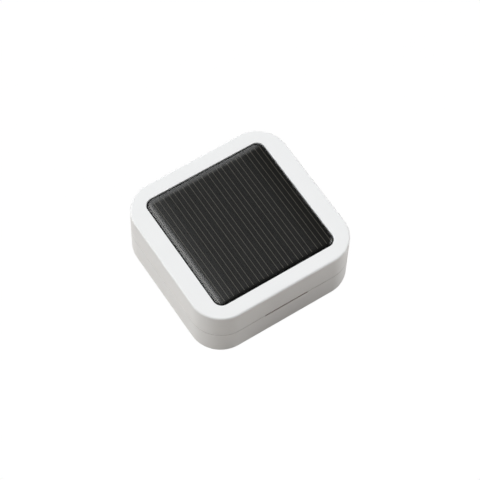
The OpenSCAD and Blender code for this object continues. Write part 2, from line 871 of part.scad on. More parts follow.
base_shell();
foot_pad();
tripod_insert();
hinge_pin();
deck();
deck_screws();
deck_magnets();
display_lens();
display_module();
light_pipe();
status_led();
main_board();
board_screws();
controller_chip();
memory_chip();
radio_module();
chip_antenna();
pressure_sensor();
humidity_sensor();
sensor_gasket();
vent_membrane();
battery();
battery_tape();
battery_leads();
battery_socket();
switch_bodies();
power_key();
power_plunger();
mode_key();
mode_plunger();
log_key();
log_plunger();
pin_block();
charge_pins();
lid_shell();
panel_resin();
panel_tape();
cell_strips();
cell_fingers();
cell_board();
charger_parts();
liner();
liner_screws();
lid_magnets();
lid_seal();
pad_block();
charge_pads();
lid_leads();
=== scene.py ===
# %% [markdown]
# # A pocket weather instrument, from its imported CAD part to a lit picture
# The instrument is a white rounded-square case with a hinged lid. A small solar panel, cast
# in clear resin, fills most of the lid. The inside holds a display and three round keys.
# This file starts from the CAD part, rebuilds the pieces that show with softer and truer
# shapes, gives every surface a finish, and sets up a camera and soft studio light.

import json
import math

import bmesh
import bpy
from mathutils import Matrix, Vector


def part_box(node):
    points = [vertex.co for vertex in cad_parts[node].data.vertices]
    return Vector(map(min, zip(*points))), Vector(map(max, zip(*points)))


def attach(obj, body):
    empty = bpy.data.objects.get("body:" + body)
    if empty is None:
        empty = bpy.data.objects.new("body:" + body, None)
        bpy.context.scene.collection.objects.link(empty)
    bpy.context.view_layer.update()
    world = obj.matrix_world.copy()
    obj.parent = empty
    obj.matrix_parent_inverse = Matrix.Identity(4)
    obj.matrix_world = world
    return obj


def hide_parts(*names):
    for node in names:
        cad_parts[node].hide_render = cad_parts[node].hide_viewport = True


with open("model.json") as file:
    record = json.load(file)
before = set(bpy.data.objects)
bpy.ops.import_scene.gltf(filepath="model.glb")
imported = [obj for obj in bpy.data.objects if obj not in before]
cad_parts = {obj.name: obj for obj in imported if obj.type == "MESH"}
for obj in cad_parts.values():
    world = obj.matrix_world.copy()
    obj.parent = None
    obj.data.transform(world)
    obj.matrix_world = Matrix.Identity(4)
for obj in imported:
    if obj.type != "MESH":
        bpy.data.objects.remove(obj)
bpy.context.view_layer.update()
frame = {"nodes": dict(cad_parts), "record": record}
print("CAD nodes:", len(frame["nodes"]))
slots = {part["node"]: part["material_slot"] for part in frame["record"]["subparts"]}
body_of = {}
for body, nodes in frame["record"]["behaviour"]["bodies"].items():
    for node in nodes:
        body_of[node] = body

# %% [markdown]
# ## Sizes
# The CAD part fixes where everything is, so places are read from it. Only sizes that a box
# can't tell, such as a corner radius or a wall, are written here. Blender works in metres
# and a maker thinks in millimetres, so MM turns one into the other.

# %% Read the main sizes
MM = 0.001

lid_low, lid_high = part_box("lid_shell")
base_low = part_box("base_shell")[0]
pin_low, pin_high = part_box("hinge_pin")
half_w = lid_high.x
half_d = -lid_low.y
case_top = lid_high.z
case_bottom = base_low.z
hinge_y = (pin_low.y + pin_high.y) / 2
seam_z = (pin_low.z + pin_high.z) / 2
corner = 13.5 * MM
wall = 2.4 * MM
seam_half = 0.15 * MM
print("case in mm:", round(2000 * half_w, 2), round(2000 * half_d, 2), round(1000 * case_top, 2))

# %% [markdown]
# ## Helpers for modelling
# Nearly every piece of this instrument is a flat block with rounded upright corners, as
# moulded cases are. It is a cube whose four upright edges are bevelled by the corner radius.
# An operator acts on everything selected, so each helper clears the selection first.


# %% Blocks with rounded corners
def deselect_all():
    """Clears the selection, so that the next operator acts on one piece only."""
    bpy.ops.object.select_all(action="DESELECT")


def take(piece):
    """Makes one piece the selected and active one."""
    deselect_all()
    piece.select_set(True)
    bpy.context.view_layer.objects.active = piece


def pick_edges(piece, test):
    """In edit mode, selects the edges whose two ends pass a test."""
    bpy.ops.mesh.select_mode(type="EDGE")
    bpy.ops.mesh.select_all(action="DESELECT")
    mesh = bmesh.from_edit_mesh(piece.data)
    for edge in mesh.edges:
        edge.select_set(test(edge.verts[0].co, edge.verts[1].co))
    mesh.select_flush_mode()
    bmesh.update_edit_mesh(piece.data)


def block(name, low, high, radius=0, steps=16):
    """A block between two corners, with its upright edges rounded."""
    deselect_all()
    low, high = Vector(low), Vector(high)
    bpy.ops.mesh.primitive_cube_add(size=1, location=(low + high) / 2, scale=high - low)
    piece = bpy.context.object
    piece.name = name
    bpy.ops.object.transform_apply(location=True, rotation=True, scale=True)
    if radius:
        bpy.ops.object.mode_set(mode="EDIT")
        pick_edges(piece, lambda a, b: (a - b).xy.length < 1e-7)
        bpy.ops.mesh.bevel(offset=radius, segments=steps, affect="EDGES")
        bpy.ops.object.mode_set(mode="OBJECT")
    return piece


def plate(name, w, d, z0, z1, radius, y=0, steps=16):
    """A rounded block of that width and depth, centred on x = 0."""
    return block(name, (-w / 2, y - d / 2, z0), (w / 2, y + d / 2, z1), radius, steps)


def round_rim(piece, z, radius, steps=4):
    """Rounds the loop of edges that lies at one height."""
    take(piece)
    bpy.ops.object.mode_set(mode="EDIT")
    pick_edges(piece, lambda a, b: abs(a.z - z) < 1e-7 and abs(b.z - z) < 1e-7)
    bpy.ops.mesh.bevel(offset=radius, segments=steps, affect="EDGES")
    bpy.ops.object.mode_set(mode="OBJECT")
    return piece


print("helpers for blocks are ready")

# %% [markdown]
# Openings, recesses and joined bodies are made with the Boolean modifier, applied at once.
# The alternative, cutting and bridging faces by hand, gives cleaner loops, but on hard
# moulded plastic with flat faces the difference doesn't show.


# %% Joining, cutting and finishing
def combine(piece, other, how="DIFFERENCE"):
    """Cuts another piece away from this one, or joins it on, and removes the other."""
    take(piece)
    bpy.ops.object.modifier_add(type="BOOLEAN")
    step = piece.modifiers[-1]
    step.operation = how
    step.solver = "EXACT"
    step.object = other
    bpy.ops.object.modifier_apply(modifier=step.name)
    bpy.data.objects.remove(other, do_unlink=True)
    return piece


def barrel(name, radius, low, high, axis="Z", sides=64):
    """A cylinder between two points on a line along X or Z."""
    deselect_all()
    low, high = Vector(low), Vector(high)
    turn = (0, math.pi / 2, 0) if axis == "X" else (0, 0, 0)
    bpy.ops.mesh.primitive_cylinder_add(
        vertices=sides,
        radius=radius,
        depth=(high - low).length,
        location=(low + high) / 2,
        rotation=turn,
    )
    piece = bpy.context.object
    piece.name = name
    bpy.ops.object.transform_apply(location=True, rotation=True, scale=True)
    return piece


def smooth(piece, angle=32):
    """Shades curved faces smoothly and keeps flat faces flat."""
    take(piece)
    bpy.ops.object.shade_smooth_by_angle(angle=math.radians(angle))
    bpy.ops.object.modifier_add(type="WEIGHTED_NORMAL")
    step = piece.modifiers[-1]
    step.keep_sharp = True
    step.weight = 100
    bpy.ops.object.modifier_apply(modifier=step.name)
    return piece


def count(piece):
    """Prints how many faces a finished piece has."""
    print(piece.name, len(piece.data.polygons), "faces")
    return piece


corners = [(side_x, side_y) for side_x in (-1, 1) for side_y in (-1, 1)]
modelled = []


def hand_over(piece, node, angle=32):
    """Finishes a piece and lets it stand for its CAD node on the body that carries it."""
    smooth(piece, angle)
    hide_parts(node)
    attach(piece, body_of[node])
    modelled.append((piece, slots[node]))
    return count(piece)


print("helpers for joining and cutting are ready")

# %% [markdown]
# ## Helpers for finishes
# A finish is a material built from nodes. Wire stands for a number that comes out of a
# node, and it takes part in ordinary Python sums, each of which adds a Math node. Finish
# holds one material, and its node method is the one way that any other node is added.


# %% Shader sums in plain Python
class Wire:
    """A value that comes out of a node, for use in Python expressions."""

    def __init__(self, finish, socket):
        self.finish = finish
        self.socket = socket

    def sum(self, operation, first, second):
        return self.finish.node("ShaderNodeMath", {"operation": operation}, {0: first, 1: second})

    def __add__(self, other):
        return self.sum("ADD", self, other)

    def __radd__(self, other):
        return self.sum("ADD", other, self)

    def __sub__(self, other):
        return self.sum("SUBTRACT", self, other)

    def __rsub__(self, other):
        return self.sum("SUBTRACT", other, self)

    def __mul__(self, other):
        return self.sum("MULTIPLY", self, other)

    def __rmul__(self, other):
        return self.sum("MULTIPLY", other, self)

    def __truediv__(self, other):
        return self.sum("DIVIDE", self, other)

    def __gt__(self, other):
        return self.sum("GREATER_THAN", self, other)

    def __lt__(self, other):
        return self.sum("LESS_THAN", self, other)


class Finish:
    """One material, or a ready node tree, and the ways to add nodes to it."""

    def __init__(self, name, tree=None):
        if tree is None:
            self.material = bpy.data.materials.new(name)
            self.material.use_nodes = True
            tree = self.material.node_tree
        self.tree = tree
        self.tree.nodes.clear()

    def node(self, kind, settings=None, sockets=None, out=0):
        """Adds a node, with its settings first, and gives the output asked for."""
        made = self.tree.nodes.new(kind)
        for name, value in (settings or {}).items():
            if name == "stops":
                for place, colour in value:
                    stop = made.color_ramp.elements.new(place)
                    stop.color = (*colour, 1)
                made.color_ramp.elements.remove(made.color_ramp.elements[0])
                made.color_ramp.elements.remove(made.color_ramp.elements[-1])
            else:
                setattr(made, name, value)
        for name, value in (sockets or {}).items():
            if isinstance(value, Wire):
                self.tree.links.new(value.socket, made.inputs[name])
            else:
                made.inputs[name].default_value = value
        return Wire(self, made.outputs[out]) if made.outputs else None

    def place(self):
        """Where a point is on the piece, in metres."""
        return self.node("ShaderNodeTexCoord", out="Object")

    def axes(self):
        """The same place as three separate numbers."""
        split = self.node("ShaderNodeSeparateXYZ", sockets={0: self.place()})
        outputs = split.socket.node.outputs
        return [Wire(self, outputs[name]) for name in "XYZ"]

    def grain(self, size, detail=2.0, rough=0.5, place=None):
        """Noise whose patches are about size metres across, around 0.5."""
        return self.node(
            "ShaderNodeTexNoise",
            {"noise_dimensions": "3D"},
            {"Vector": place or self.place(), "Scale": 1 / size, "Detail": detail, "Roughness": rough},
            "Fac",
        )

    def bump(self, height, depth, normal=None):
        """Turns a height from 0 to 1 into a relief of depth metres."""
        sockets = {"Height": height, "Distance": depth, "Strength": 1.0}
        if normal:
            sockets["Normal"] = normal
        return self.node("ShaderNodeBump", {}, sockets)

    def blend(self, factor, first, second):
        """Mixes two colours by a number from 0 to 1."""
        colours = [c if isinstance(c, Wire) else (*c, 1) for c in (first, second)]
        return self.node(
            "ShaderNodeMix",
            {"data_type": "RGBA", "clamp_factor": True},
            {0: factor, 6: colours[0], 7: colours[1]},
            2,
        )

    def surface(self, **sockets):
        """Ends the material in one Principled shader. Names use _ for a space."""
        values = {}
        for name, value in sockets.items():
            if isinstance(value, tuple) and len(value) == 3:
                value = (*value, 1)
            values[name.replace("_", " ")] = value
        self.end(self.node("ShaderNodeBsdfPrincipled", {}, values))

    def end(self, shader):
        """Joins a shader to the material's output."""
        self.node("ShaderNodeOutputMaterial", {}, {"Surface": shader})


finishes = {}
print("helpers for finishes are ready")

# %% [markdown]
# ## The camera
# The camera looks down on the closed case from the front left, high up and from well back
# with a long lens, so the sides hardly converge. Its place is worked out from three angles
# and a distance, which are easier to adjust than a location.

# %% Camera
turn, lift, roll = (math.radians(a) for a in (-34.8778, 60.7505, 2.2431))
aim = Vector((0, 0, 14 * MM))
backward = Vector(
    (math.sin(turn) * math.cos(lift), -math.cos(turn) * math.cos(lift), math.sin(lift))
)
level = Vector((math.cos(turn), math.sin(turn), 0))
upward = backward.cross(level)
right = level * math.cos(roll) + upward * math.sin(roll)
above = upward * math.cos(roll) - level * math.sin(roll)
place = aim + backward * 0.76687 + right * 0.357 * MM - above * 0.304 * MM

deselect_all()
bpy.ops.object.camera_add(location=place)
camera = bpy.context.object
camera.name = "camera"
camera.rotation_euler = Matrix((right, above, backward)).transposed().to_euler()
camera.data.sensor_width = 36
camera.data.lens = 141.93
camera.data.clip_start = 0.01
camera.data.dof.use_dof = False
bpy.context.scene.camera = camera
print("camera at", [round(v, 4) for v in camera.location])

# %% [markdown]
# ## The lid
# The lid is one injection-moulded shell: a rounded block with a softly rounded top edge, a
# hollow inside, a large opening for the solar panel with a ledge under it, and one hinge
# knuckle behind. It could be drawn as a profile and swept round, but a block that is
# hollowed in steps follows how the mould's core and cavity make it.


# %% Outer shape of the lid
lid_bottom = seam_z + seam_half
lid = plate("case_lid", 2 * half_w, 2 * half_d, lid_bottom, case_top, corner, steps=24)
round_rim(lid, case_top, 0.8 * MM, 6)
round_rim(lid, lid_bottom, 0.12 * MM, 2)

inner_w = 2 * half_w - 2 * wall
inner_d = 2 * half_d - 2 * wall
inner_r = corner - wall
face_under = case_top - 1.8 * MM
combine(lid, plate("core", inner_w, inner_d, seam_z - 5 * MM, face_under, inner_r))

skirt = 1.3 * MM
combine(
    lid,
    plate(
        "rebate",
        2 * half_w - 2 * skirt,
        2 * half_d - 2 * skirt,
        seam_z - 5 * MM,
        seam_z + 0.95 * MM,
        corner - skirt,
    ),
)
count(lid)

# %% [markdown]
# The opening's upper edge is slightly rounded, as any moulded edge is, and that thin
# highlight makes the frame look real. The cutter is therefore flared at its top: the top
# face is extruded in three small steps, each wider than the last, along a quarter circle.


# %% Opening for the panel, with a ledge
panel_low, panel_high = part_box("panel_resin")
tape_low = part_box("panel_tape")[0]
gap = 0.25 * MM
window_w = 2 * (panel_high.x + gap)
window_d = 2 * (panel_high.y + gap)
window_r = 3.8 * MM


def flared(name, w, d, z0, z_face, radius, flare, steps=3):
    """A cutter whose last bit widens along a quarter circle up to the face at z_face."""
    piece = plate(name, w, d, z0, z_face - flare, radius)
    bpy.ops.object.mode_set(mode="EDIT")
    bpy.ops.mesh.select_mode(type="FACE")
    bpy.ops.mesh.select_all(action="DESELECT")
    mesh = bmesh.from_edit_mesh(piece.data)
    for face in mesh.faces:
        face.select_set(face.normal.z > 0.9)
    bmesh.update_edit_mesh(piece.data)
    out, up = 0, 0
    for step in [*range(1, steps + 1), steps + 2]:
        angle = min(step, steps) / steps * math.pi / 2
        next_out = flare * (1 - math.cos(angle))
        next_up = flare * math.sin(angle) if step <= steps else flare + 1 * MM
        bpy.ops.mesh.extrude_region_move(
            TRANSFORM_OT_translate={"value": (0, 0, next_up - up)}
        )
        bpy.ops.transform.resize(
            value=((w / 2 + next_out) / (w / 2 + out), (d / 2 + next_out) / (d / 2 + out), 1),
            center_override=(0, 0, z_face),
        )
        out, up = next_out, next_up
    bpy.ops.object.mode_set(mode="OBJECT")
    return piece


ledge_top = tape_low.z
ledge_under = ledge_top - 1.2 * MM
ledge_w = 1.5 * MM
ledge_rim = 1.6 * MM
rim = plate(
    "ledge",
    window_w + 2 * ledge_rim,
    window_d + 2 * ledge_rim,
    ledge_under,
    face_under + 0.2 * MM,
    window_r + ledge_rim,
)
combine(lid, rim, "UNION")
combine(
    lid,
    plate(
        "light_well",
        window_w - 2 * ledge_w,
        window_d - 2 * ledge_w,
        ledge_under - 1 * MM,
        case_top + 1 * MM,
        window_r - ledge_w,
    ),
)
combine(lid, flared("opening", window_w, window_d, ledge_top, case_top, window_r, 0.18 * MM))
count(lid)

# %% [markdown]
# ## The hinge
# The lid carries one knuckle in the middle of the barrel, and the base carries two outside
# it. A web runs from each knuckle to the back wall. The webs are blocks sliced by one or
# two planes with the bisect tool, which is quicker and truer than moving corners.


# %% Knuckles and webs
def slice_off(piece, point, direction):
    """Cuts a piece by a plane and drops what lies on the direction's side."""
    take(piece)
    bpy.ops.object.mode_set(mode="EDIT")
    bpy.ops.mesh.select_all(action="SELECT")
    bpy.ops.mesh.bisect(plane_co=point, plane_no=direction, use_fill=True, clear_outer=True)
    bpy.ops.object.mode_set(mode="OBJECT")
    return piece


knuckle_r = 2.1 * MM
relief_r = knuckle_r + 0.3 * MM
web_h = 5.6 * MM
hinge_out = hinge_y - half_d
in_wall = half_d - 0.65 * MM
lid_knuckle = 8 * MM
base_knuckle = 8.25 * MM
barrel_end = pin_high.x


def knuckle(name, x0, x1):
    """One stretch of the hinge barrel, with softened ends."""
    piece = barrel(name, knuckle_r, (x0, hinge_y, seam_z), (x1, hinge_y, seam_z), "X")
    bpy.ops.object.mode_set(mode="EDIT")
    pick_edges(piece, lambda a, b: abs(a.x - b.x) < 1e-7)
    bpy.ops.mesh.bevel(offset=0.12 * MM, segments=2, affect="EDGES")
    bpy.ops.object.mode_set(mode="OBJECT")
    return piece


slope = math.atan2(web_h, -hinge_out) - math.acos(knuckle_r / math.hypot(hinge_out, web_h))
web = block("web", (-lid_knuckle, in_wall, lid_bottom), (lid_knuckle, hinge_y + 3 * MM, seam_z + web_h))
inside = 0.94 * knuckle_r
touch = Vector((0, hinge_y + inside * math.cos(slope), seam_z + inside * math.sin(slope)))
root = Vector((0, half_d, seam_z + web_h))
along = (root - touch).normalized()
slice_off(web, touch, Vector((0, along.z, -along.y)))
combine(web, knuckle("lid_barrel", -lid_knuckle, lid_knuckle), "UNION")
combine(lid, web, "UNION")
for side in (-1, 1):
    near = side * lid_knuckle
    far = side * (barrel_end + 0.25 * MM)
    ends = sorted((near, far))
    combine(
        lid,
        barrel("relief", relief_r, (ends[0], hinge_y, seam_z), (ends[1], hinge_y, seam_z), "X"),
    )
count(lid)

# %% [markdown]
# The slot for a thumbnail at the front is cut half from the lid and half from the base.
# The pin's bore runs through the lid's knuckle with a little room to turn.


# %% Slot and bore
slot_half = 10.15 * MM
slot_h = 0.6 * MM
slot_deep = 0.9 * MM


def thumb_slot():
    """A shallow cutter across the seam at the front."""
    piece = block(
        "slot",
        (-slot_half, -half_d - 1 * MM, seam_z - slot_h),
        (slot_half, -half_d + slot_deep, seam_z + slot_h),
    )
    bpy.ops.object.mode_set(mode="EDIT")
    pick_edges(piece, lambda a, b: (a - b).xz.length < 1e-7)
    bpy.ops.mesh.bevel(offset=0.25 * MM, segments=3, affect="EDGES")
    bpy.ops.object.mode_set(mode="OBJECT")
    return piece


def bore(radius):
    """A cutter along the hinge axis."""
    reach = barrel_end + 1 * MM
    return barrel("bore", radius, (-reach, hinge_y, seam_z), (reach, hinge_y, seam_z), "X", 40)


combine(lid, thumb_slot())
combine(lid, bore(0.8 * MM))
hand_over(lid, "lid_shell")

# %% [markdown]
# ## The base
# The base is the lower shell. It is modelled in the same order as the lid. It has a lip
# that stands up inside the lid's skirt, a recess for the foot pad, and five narrow vents in
# its right wall that let outside air reach the humidity sensor.

# %% Outer shape of the base
base_top = seam_z - seam_half
floor_top = case_bottom + 2 * MM
lip = 0.8 * MM
base = plate("case_base", 2 * half_w, 2 * half_d, case_bottom, base_top, corner, steps=24)
round_rim(base, case_bottom, 1.2 * MM, 6)
round_rim(base, base_top, 0.12 * MM, 2)
combine(
    base,
    plate(
        "lip",
        inner_w + 2 * lip,
        inner_d + 2 * lip,
        seam_z - 2 * MM,
        base_top + 0.8 * MM,
        inner_r + lip,
    ),
    "UNION",
)
combine(base, plate("core", inner_w, inner_d, floor_top, seam_z + 5 * MM, inner_r))
pad_low, pad_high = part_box("foot_pad")
combine(
    base,
    plate(
        "pad_recess",
        2 * pad_high.x + 0.3 * MM,
        2 * pad_high.y + 0.3 * MM,
        -1 * MM,
        pad_high.z,
        6.15 * MM,
    ),
)
combine(base, barrel("insert_hole", 4.62 * MM, (0, 0, -1 * MM), (0, 0, floor_top + 1 * MM)))
count(base)

# %% [markdown]
# Behind the case the base has two knuckles, each on a web that also ends in a stop lug. The
# open lid's back face comes to rest on the lugs, so their upper planes are found by turning
# that face about the hinge. Slicing a block by those planes keeps lug and lid parallel.


# %% Knuckles and stop lugs of the base
stop = math.radians(115)


def stopped(z):
    """Where a point of the lid's back face stands when the open lid meets the lugs."""
    return Vector(
        (
            0,
            hinge_y + z * math.sin(stop) - hinge_out * math.cos(stop),
            seam_z + z * math.cos(stop) + hinge_out * math.sin(stop),
        )
    )


lug_reach = 3.4 * MM
lug_near, lug_far = stopped(inside), stopped(lug_reach)
lug_root = Vector((0, half_d, seam_z - web_h))
upper = (lug_far - lug_near).normalized()
under = (lug_root - lug_far).normalized()
for side in (-1, 1):
    ends = sorted((side * base_knuckle, side * barrel_end))
    web = block(
        "web",
        (ends[0], in_wall, seam_z - web_h),
        (ends[1], lug_far.y, base_top),
    )
    slice_off(web, lug_near, Vector((0, -upper.z, upper.y)))
    slice_off(web, lug_far, Vector((0, -under.z, under.y)))
    combine(web, knuckle("base_barrel", *ends), "UNION")
    combine(base, web, "UNION")
combine(
    base,
    barrel(
        "relief",
        relief_r,
        (-base_knuckle, hinge_y, seam_z),
        (base_knuckle, hinge_y, seam_z),
        "X",
    ),
)
combine(base, bore(0.77 * MM))
combine(base, thumb_slot())
count(base)

# %% [markdown]
# One vent cutter is modelled and the others are copies of it, each with its own mesh. Its
# edges along the cut are bevelled, so that each vent has rounded ends as a moulded slot has.

# %% Vents
membrane_low, membrane_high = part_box("vent_membrane")
vent_y = (membrane_low.y + membrane_high.y) / 2
vent_z = (membrane_low.z + membrane_high.z) / 2
first_vent = block(
    "vent",
    (half_w - wall - 1 * MM, vent_y - 0.6 * MM, vent_z - 2.5 * MM),
    (half_w + 1 * MM, vent_y + 0.6 * MM, vent_z + 2.5 * MM),
)
bpy.ops.object.mode_set(mode="EDIT")
pick_edges(first_vent, lambda a, b: (a - b).yz.length < 1e-7)
bpy.ops.mesh.bevel(offset=0.5 * MM, segments=4, affect="EDGES")
bpy.ops.object.mode_set(mode="OBJECT")
for step in range(-2, 3):
    vent = first_vent.copy()
    vent.data = first_vent.data.copy()
    bpy.context.collection.objects.link(vent)
    vent.location.y = step * 2.8 * MM
    take(vent)
    bpy.ops.object.transform_apply(location=True)
    combine(base, vent)
bpy.data.objects.remove(first_vent, do_unlink=True)
hand_over(base, "base_shell")

# %% [markdown]
# ## The panel's resin
# The resin is poured as a liquid and its surface tension rounds its edge, so the edge has
# the outline of a quarter ellipse, much wider than it is high. A bevel makes only circles,
# so the block is made too tall by the ellipse's ratio, bevelled, and then scaled back.

# %% Resin over the cells
resin_edge = 3.4 * MM
resin_side = 0.15 * MM
resin_h = panel_high.z - panel_low.z
stretch = resin_edge / (resin_h - resin_side)
resin = plate(
    "panel_clear_resin",
    2 * panel_high.x,
    2 * panel_high.y,
    panel_low.z,
    panel_low.z + resin_h * stretch,
    window_r - gap,
    steps=20,
)
round_rim(resin, panel_low.z + resin_h * stretch, resin_edge, 16)
take(resin)
bpy.ops.object.mode_set(mode="EDIT")
bpy.ops.mesh.select_all(action="SELECT")
bpy.ops.transform.resize(value=(1, 1, 1 / stretch), center_override=(0, 0, panel_low.z))
bpy.ops.object.mode_set(mode="OBJECT")
hand_over(resin, "panel_resin", 60)

# %% [markdown]
# ## The deck
# The deck is the plate that one sees on opening the lid. Its display, contacts and keys sit
# in openings cut with small clearances. The posts under it carry the screws from below. Its
# upper rim and the key holes are softened, since a sharp edge there would catch a fingertip.

# %% Deck plate
deck_low, deck_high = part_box("deck")
lens_low, lens_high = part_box("display_lens")
contact_low, contact_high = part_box("pin_block")
pipe_low, pipe_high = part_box("light_pipe")
pipe_y = (pipe_low.y + pipe_high.y) / 2
key_boxes = {name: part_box(name) for name in ("power_key", "mode_key", "log_key")}
plate_t = 1.8 * MM
plate_r = corner - wall - 0.3 * MM
snug = 0.15 * MM
key_r = 4.4 * MM
key_gap = 0.2 * MM
post_r = 2.9 * MM
post_x, post_y = 25.8 * MM, 23.5 * MM
pilot_r, pilot_deep = 0.95 * MM, 6.5 * MM
lens_r = 2 * MM
lens_ledge = 2 * MM
deck_top = deck_high.z
deck_under = deck_top - plate_t
lens_w = lens_high.x - lens_low.x
lens_d = lens_high.y - lens_low.y
lens_y = (lens_high.y + lens_low.y) / 2
key_y = (key_boxes["mode_key"][0].y + key_boxes["mode_key"][1].y) / 2

deck = plate("deck_plate", 2 * deck_high.x, 2 * deck_high.y, deck_under, deck_top, plate_r, steps=20)
round_rim(deck, deck_top, 0.25 * MM, 3)
for side_x, side_y in corners:
    foot = Vector((side_x * post_x, side_y * post_y, deck_low.z))
    combine(deck, barrel("post", post_r, foot, (foot.x, foot.y, deck_under + 0.5 * MM)), "UNION")
    pilot_ends = (foot - Vector((0, 0, MM)), foot + Vector((0, 0, pilot_deep)))
    combine(deck, barrel("screw_hole", pilot_r, *pilot_ends, "Z", 24))
count(deck)

# %% [markdown]
# The lens lies on a ledge, so its opening is cut twice: once as wide as the lens and as deep
# as it is thick, and once narrower and right through. The other openings go straight
# through. A drill or an end mill would make the same cuts in the same order.

# %% Openings in the deck
lens_bed = plate(
    "lens_bed",
    lens_w + 2 * snug,
    lens_d + 2 * snug,
    lens_low.z,
    deck_top + MM,
    lens_r + snug,
    lens_y,
)
combine(deck, lens_bed)
lens_hole = plate(
    "lens_hole",
    lens_w - 2 * lens_ledge,
    lens_d - 2 * lens_ledge,
    deck_under - MM,
    deck_top + MM,
    0.5 * MM,
    lens_y,
)
combine(deck, lens_hole)
combine(
    deck,
    block(
        "contact_hole",
        (contact_low.x - snug, contact_low.y - snug, deck_under - MM),
        (contact_high.x + snug, contact_high.y + snug, deck_top + MM),
    ),
)


def hole_at(name, radius, x, y):
    """Drills a hole right through the deck."""
    ends = ((x, y, deck_under - MM), (x, y, deck_top + MM))
    combine(deck, barrel(name, radius, *ends))


hole_at("pipe_hole", 0.92 * MM, 0, pipe_y)
for low, high in key_boxes.values():
    hole_at("key_hole", key_r + key_gap, (low.x + high.x) / 2, key_y)
count(deck)

# %% [markdown]
# Only the key holes get a softened edge: it shows as a thin bright ring round each key. Their
# edges are picked by how far they are from the keys' centres.

# %% Softened key holes
key_centres = [Vector(((low.x + high.x) / 2, key_y, deck_top)) for low, high in key_boxes.values()]


def on_key_hole(a, b):
    """Whether an edge belongs to the upper rim of a key hole."""
    flat = abs(a.z - deck_top) < 1e-7 and abs(b.z - deck_top) < 1e-7
    return flat and any(
        max((a - centre).length, (b - centre).length) < key_r + key_gap + 0.01 * MM
        for centre in key_centres
    )


take(deck)
bpy.ops.object.mode_set(mode="EDIT")
pick_edges(deck, on_key_hole)
bpy.ops.mesh.bevel(offset=0.2 * MM, segments=3, affect="EDGES")
bpy.ops.object.mode_set(mode="OBJECT")
hand_over(deck, "deck")

# %% [markdown]
# ## The display's lens
# A black printed window with a soft rim lies flush with the deck. What it covers, the blank
# display, shows through as a paler field, which belongs to its finish.

# %% Lens
lens = plate("display_window", lens_w, lens_d, lens_low.z, lens_high.z, lens_r, lens_y)
round_rim(lens, lens_high.z, 0.15 * MM, 3)
hand_over(lens, "display_lens")

# %% [markdown]
# ## The keys
# The three keys are alike, so one is modelled and the others are copies of it. A key is a
# turned shape: a flange that keeps it under the deck, a stem, and a dished top that finds
# the fingertip. The dish is made of four rings inset from the top face, each moved down.

# %% Middle key
key_low, key_high = key_boxes["mode_key"]
key_top = key_high.z
dish_r = 22 * MM
dish_deep = 0.25 * MM
rim_r = 0.3 * MM
flange_t = 0.6 * MM
key = barrel("key_mode", key_r, (0, key_y, key_low.z), (0, key_y, key_top), "Z", 72)
round_rim(key, key_top, rim_r, 4)
take(key)
bpy.ops.object.mode_set(mode="EDIT")
bpy.ops.mesh.select_mode(type="FACE")
bpy.ops.mesh.select_all(action="DESELECT")
mesh = bmesh.from_edit_mesh(key.data)
for face in mesh.faces:
    face.select_set(face.normal.z > 0.99)
bmesh.update_edit_mesh(key.data)
ring_r, ring_z = key_r - rim_r, 0
for next_r in (3.3 * MM, 2.6 * MM, 1.8 * MM, 0.9 * MM):
    next_z = min(0, -dish_deep + next_r * next_r / (2 * dish_r))
    bpy.ops.mesh.inset(thickness=ring_r - next_r)
    bpy.ops.transform.translate(value=(0, 0, next_z - ring_z))
    ring_r, ring_z = next_r, next_z
bpy.ops.object.mode_set(mode="OBJECT")
flange = barrel(
    "flange",
    key_high.x,
    (0, key_y, key_low.z),
    (0, key_y, key_low.z + flange_t),
    "Z",
    72,
)
round_rim(flange, key_low.z + flange_t, 0.1 * MM, 2)
combine(key, flange, "UNION")
count(key)

# %% [markdown]
# The other two keys are the same moulding, so they are copies, moved to their own boxes.

# %% Copies of the key
for name, (low, high) in key_boxes.items():
    if name == "mode_key":
        continue
    twin = key.copy()
    twin.data = key.data.copy()
    twin.name = "key_" + name.split("_")[0]
    bpy.context.collection.objects.link(twin)
    twin.location.x = (low.x + high.x) / 2
    take(twin)
    bpy.ops.object.transform_apply(location=True)
    hand_over(twin, name)
hand_over(key, "mode_key")

# %% [markdown]
# ## The lid's liner
# A plate closes the lid from below and hides the cell board's wires. Four counterbored
# holes take its screws, so that no head stands out.

# %% Liner plate
liner_low, liner_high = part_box("liner")
screw_x, screw_y = 31.5 * MM, 18.3 * MM
screw_holes = ((1.2 * MM, 4 * MM), (2.1 * MM, 1.2 * MM))
liner = plate(
    "liner_plate",
    2 * liner_high.x,
    2 * liner_high.y,
    liner_low.z,
    liner_high.z,
    plate_r,
    steps=20,
)
round_rim(liner, liner_low.z, 0.25 * MM, 3)
for side_x, side_y in corners:
    screw = Vector((side_x * screw_x, side_y * screw_y, liner_low.z))
    for radius, deep in screw_holes:
        ends = (screw - Vector((0, 0, MM)), screw + Vector((0, 0, deep)))
        combine(liner, barrel("screw_hole", radius, *ends, "Z", 40))
magnet_low, magnet_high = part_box("lid_magnets")
magnet_r = (magnet_high.y - magnet_low.y) / 2
for side in (-1, 1):
    centre = (side * (magnet_high.x - magnet_r), (magnet_low.y + magnet_high.y) / 2)
    ends = ((*centre, magnet_low.z), (*centre, liner_high.z + MM))
    combine(liner, barrel("pocket", magnet_r + 0.05 * MM, *ends))
wire_w = contact_high.x - 1 * MM
wire_y = (contact_low.y + contact_high.y) / 2
combine(
    liner,
    block(
        "wire_slot",
        (-wire_w, wire_y - 1 * MM, liner_low.z - MM),
        (wire_w, wire_y + 1 * MM, liner_high.z + MM),
        0.6 * MM,
        6,
    ),
)
hand_over(liner, "liner")

# %% [markdown]
# ## The foot pad
# A silicone pad fills the recess under the case. Its lower rim is rounded, and one shallow
# groove runs round it: the groove lets the pad flex, so that it grips a rough table.

